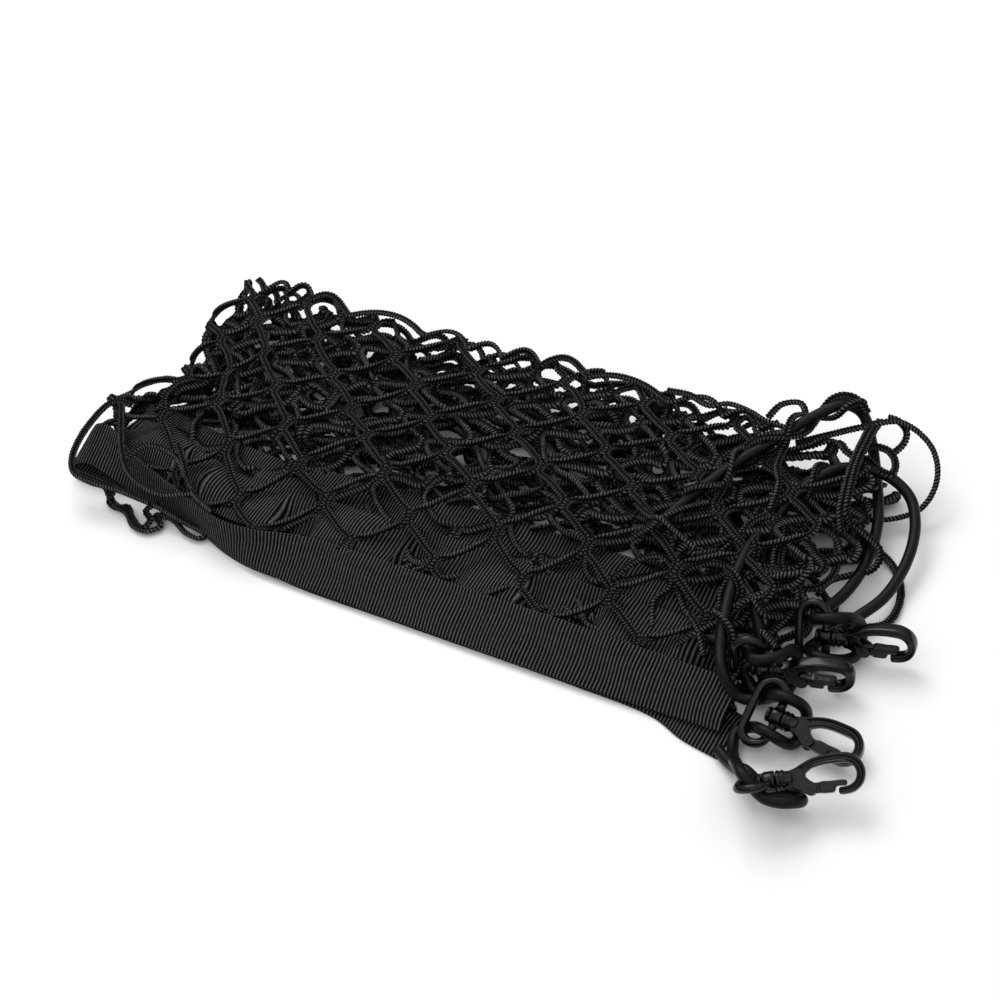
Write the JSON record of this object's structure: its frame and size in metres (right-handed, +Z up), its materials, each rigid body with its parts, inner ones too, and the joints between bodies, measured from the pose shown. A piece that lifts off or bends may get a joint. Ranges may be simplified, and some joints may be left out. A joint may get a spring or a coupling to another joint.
{
  "type": "folded cargo net",
  "caption": "Knotless cord cargo net with webbing-bound edges, elastic edge cords and swivel snap hooks at its corners, folded flat in layers.",
  "frame": {"origin": "on the surface the pack lies on, under the middle of the folded pack", "axes": "+X along the pack's length towards the hooks, +Y towards its rear edge, the one without webbing, +Z up"},
  "size_m": [0.4552, 0.2058, 0.0434],
  "materials": {
    "net": "black knitted nylon cord, matt",
    "tape": "black ribbed nylon webbing, slight sheen on the ribs",
    "cord": "black fine braid over rubber, smooth",
    "hook": "black moulded nylon, soft gloss"
  },
  "bodies": {
    "net": {"net_panel": "net", "outer_binding": "tape", "inner_binding": "tape", "elastic_front": "cord", "elastic_side": "cord", "elastic_inner": "cord", "hook_a_eye": "hook", "hook_b_eye": "hook", "hook_c_eye": "hook", "hook_d_eye": "hook"},
    "hook_a": {"hook_a_frame": "hook"},
    "hook_a_gate": {"hook_a_gate": "hook"},
    "hook_b": {"hook_b_frame": "hook"},
    "hook_b_gate": {"hook_b_gate": "hook"},
    "hook_c": {"hook_c_frame": "hook"},
    "hook_c_gate": {"hook_c_gate": "hook"},
    "hook_d": {"hook_d_frame": "hook"},
    "hook_d_gate": {"hook_d_gate": "hook"}
  },
  "joints": [
    {"name": "hook_a_swivel", "type": "hinge", "parent": "net", "child": "hook_a", "pos_m": [0.226, -0.1021, 0.015], "axis": [0.8658, 0.4981, 0.0479], "continuous": true},
    {"name": "hook_a_gate_pivot", "type": "hinge", "parent": "hook_a", "child": "hook_a_gate", "pos_m": [0.24701, -0.09431, 0.01354], "axis": [0.2445, -0.5045, 0.8281], "range_deg": [0, 22], "stiffness_Nm_per_rad": 0.01, "springref_deg": -11.46},
    {"name": "hook_b_swivel", "type": "hinge", "parent": "net", "child": "hook_b", "pos_m": [0.2112, -0.0664, 0.0126], "axis": [0.9926, -0.0023, -0.1215], "continuous": true},
    {"name": "hook_b_gate_pivot", "type": "hinge", "parent": "hook_b", "child": "hook_b_gate", "pos_m": [0.23286, -0.07073, 0.00855], "axis": [0.1149, -0.3093, 0.944], "range_deg": [0, 22], "stiffness_Nm_per_rad": 0.01, "springref_deg": -11.46},
    {"name": "hook_c_swivel", "type": "hinge", "parent": "net", "child": "hook_c", "pos_m": [0.1954, -0.05, 0.0158], "axis": [0.93, 0.3538, -0.0998], "continuous": true},
    {"name": "hook_c_gate_pivot", "type": "hinge", "parent": "hook_c", "child": "hook_c_gate", "pos_m": [0.21544, -0.04238, 0.00913], "axis": [0.3556, -0.9346, 0], "range_deg": [0, 22], "stiffness_Nm_per_rad": 0.01, "springref_deg": -11.46},
    {"name": "hook_d_swivel", "type": "hinge", "parent": "net", "child": "hook_d", "pos_m": [0.2102, -0.0212, 0.0122], "axis": [0.9732, 0.2263, 0.0407], "continuous": true},
    {"name": "hook_d_gate_pivot", "type": "hinge", "parent": "hook_d", "child": "hook_d_gate", "pos_m": [0.232, -0.01709, 0.0087], "axis": [0.2133, -0.9546, 0.2077], "range_deg": [0, 22], "stiffness_Nm_per_rad": 0.01, "springref_deg": -11.46}
  ]
}
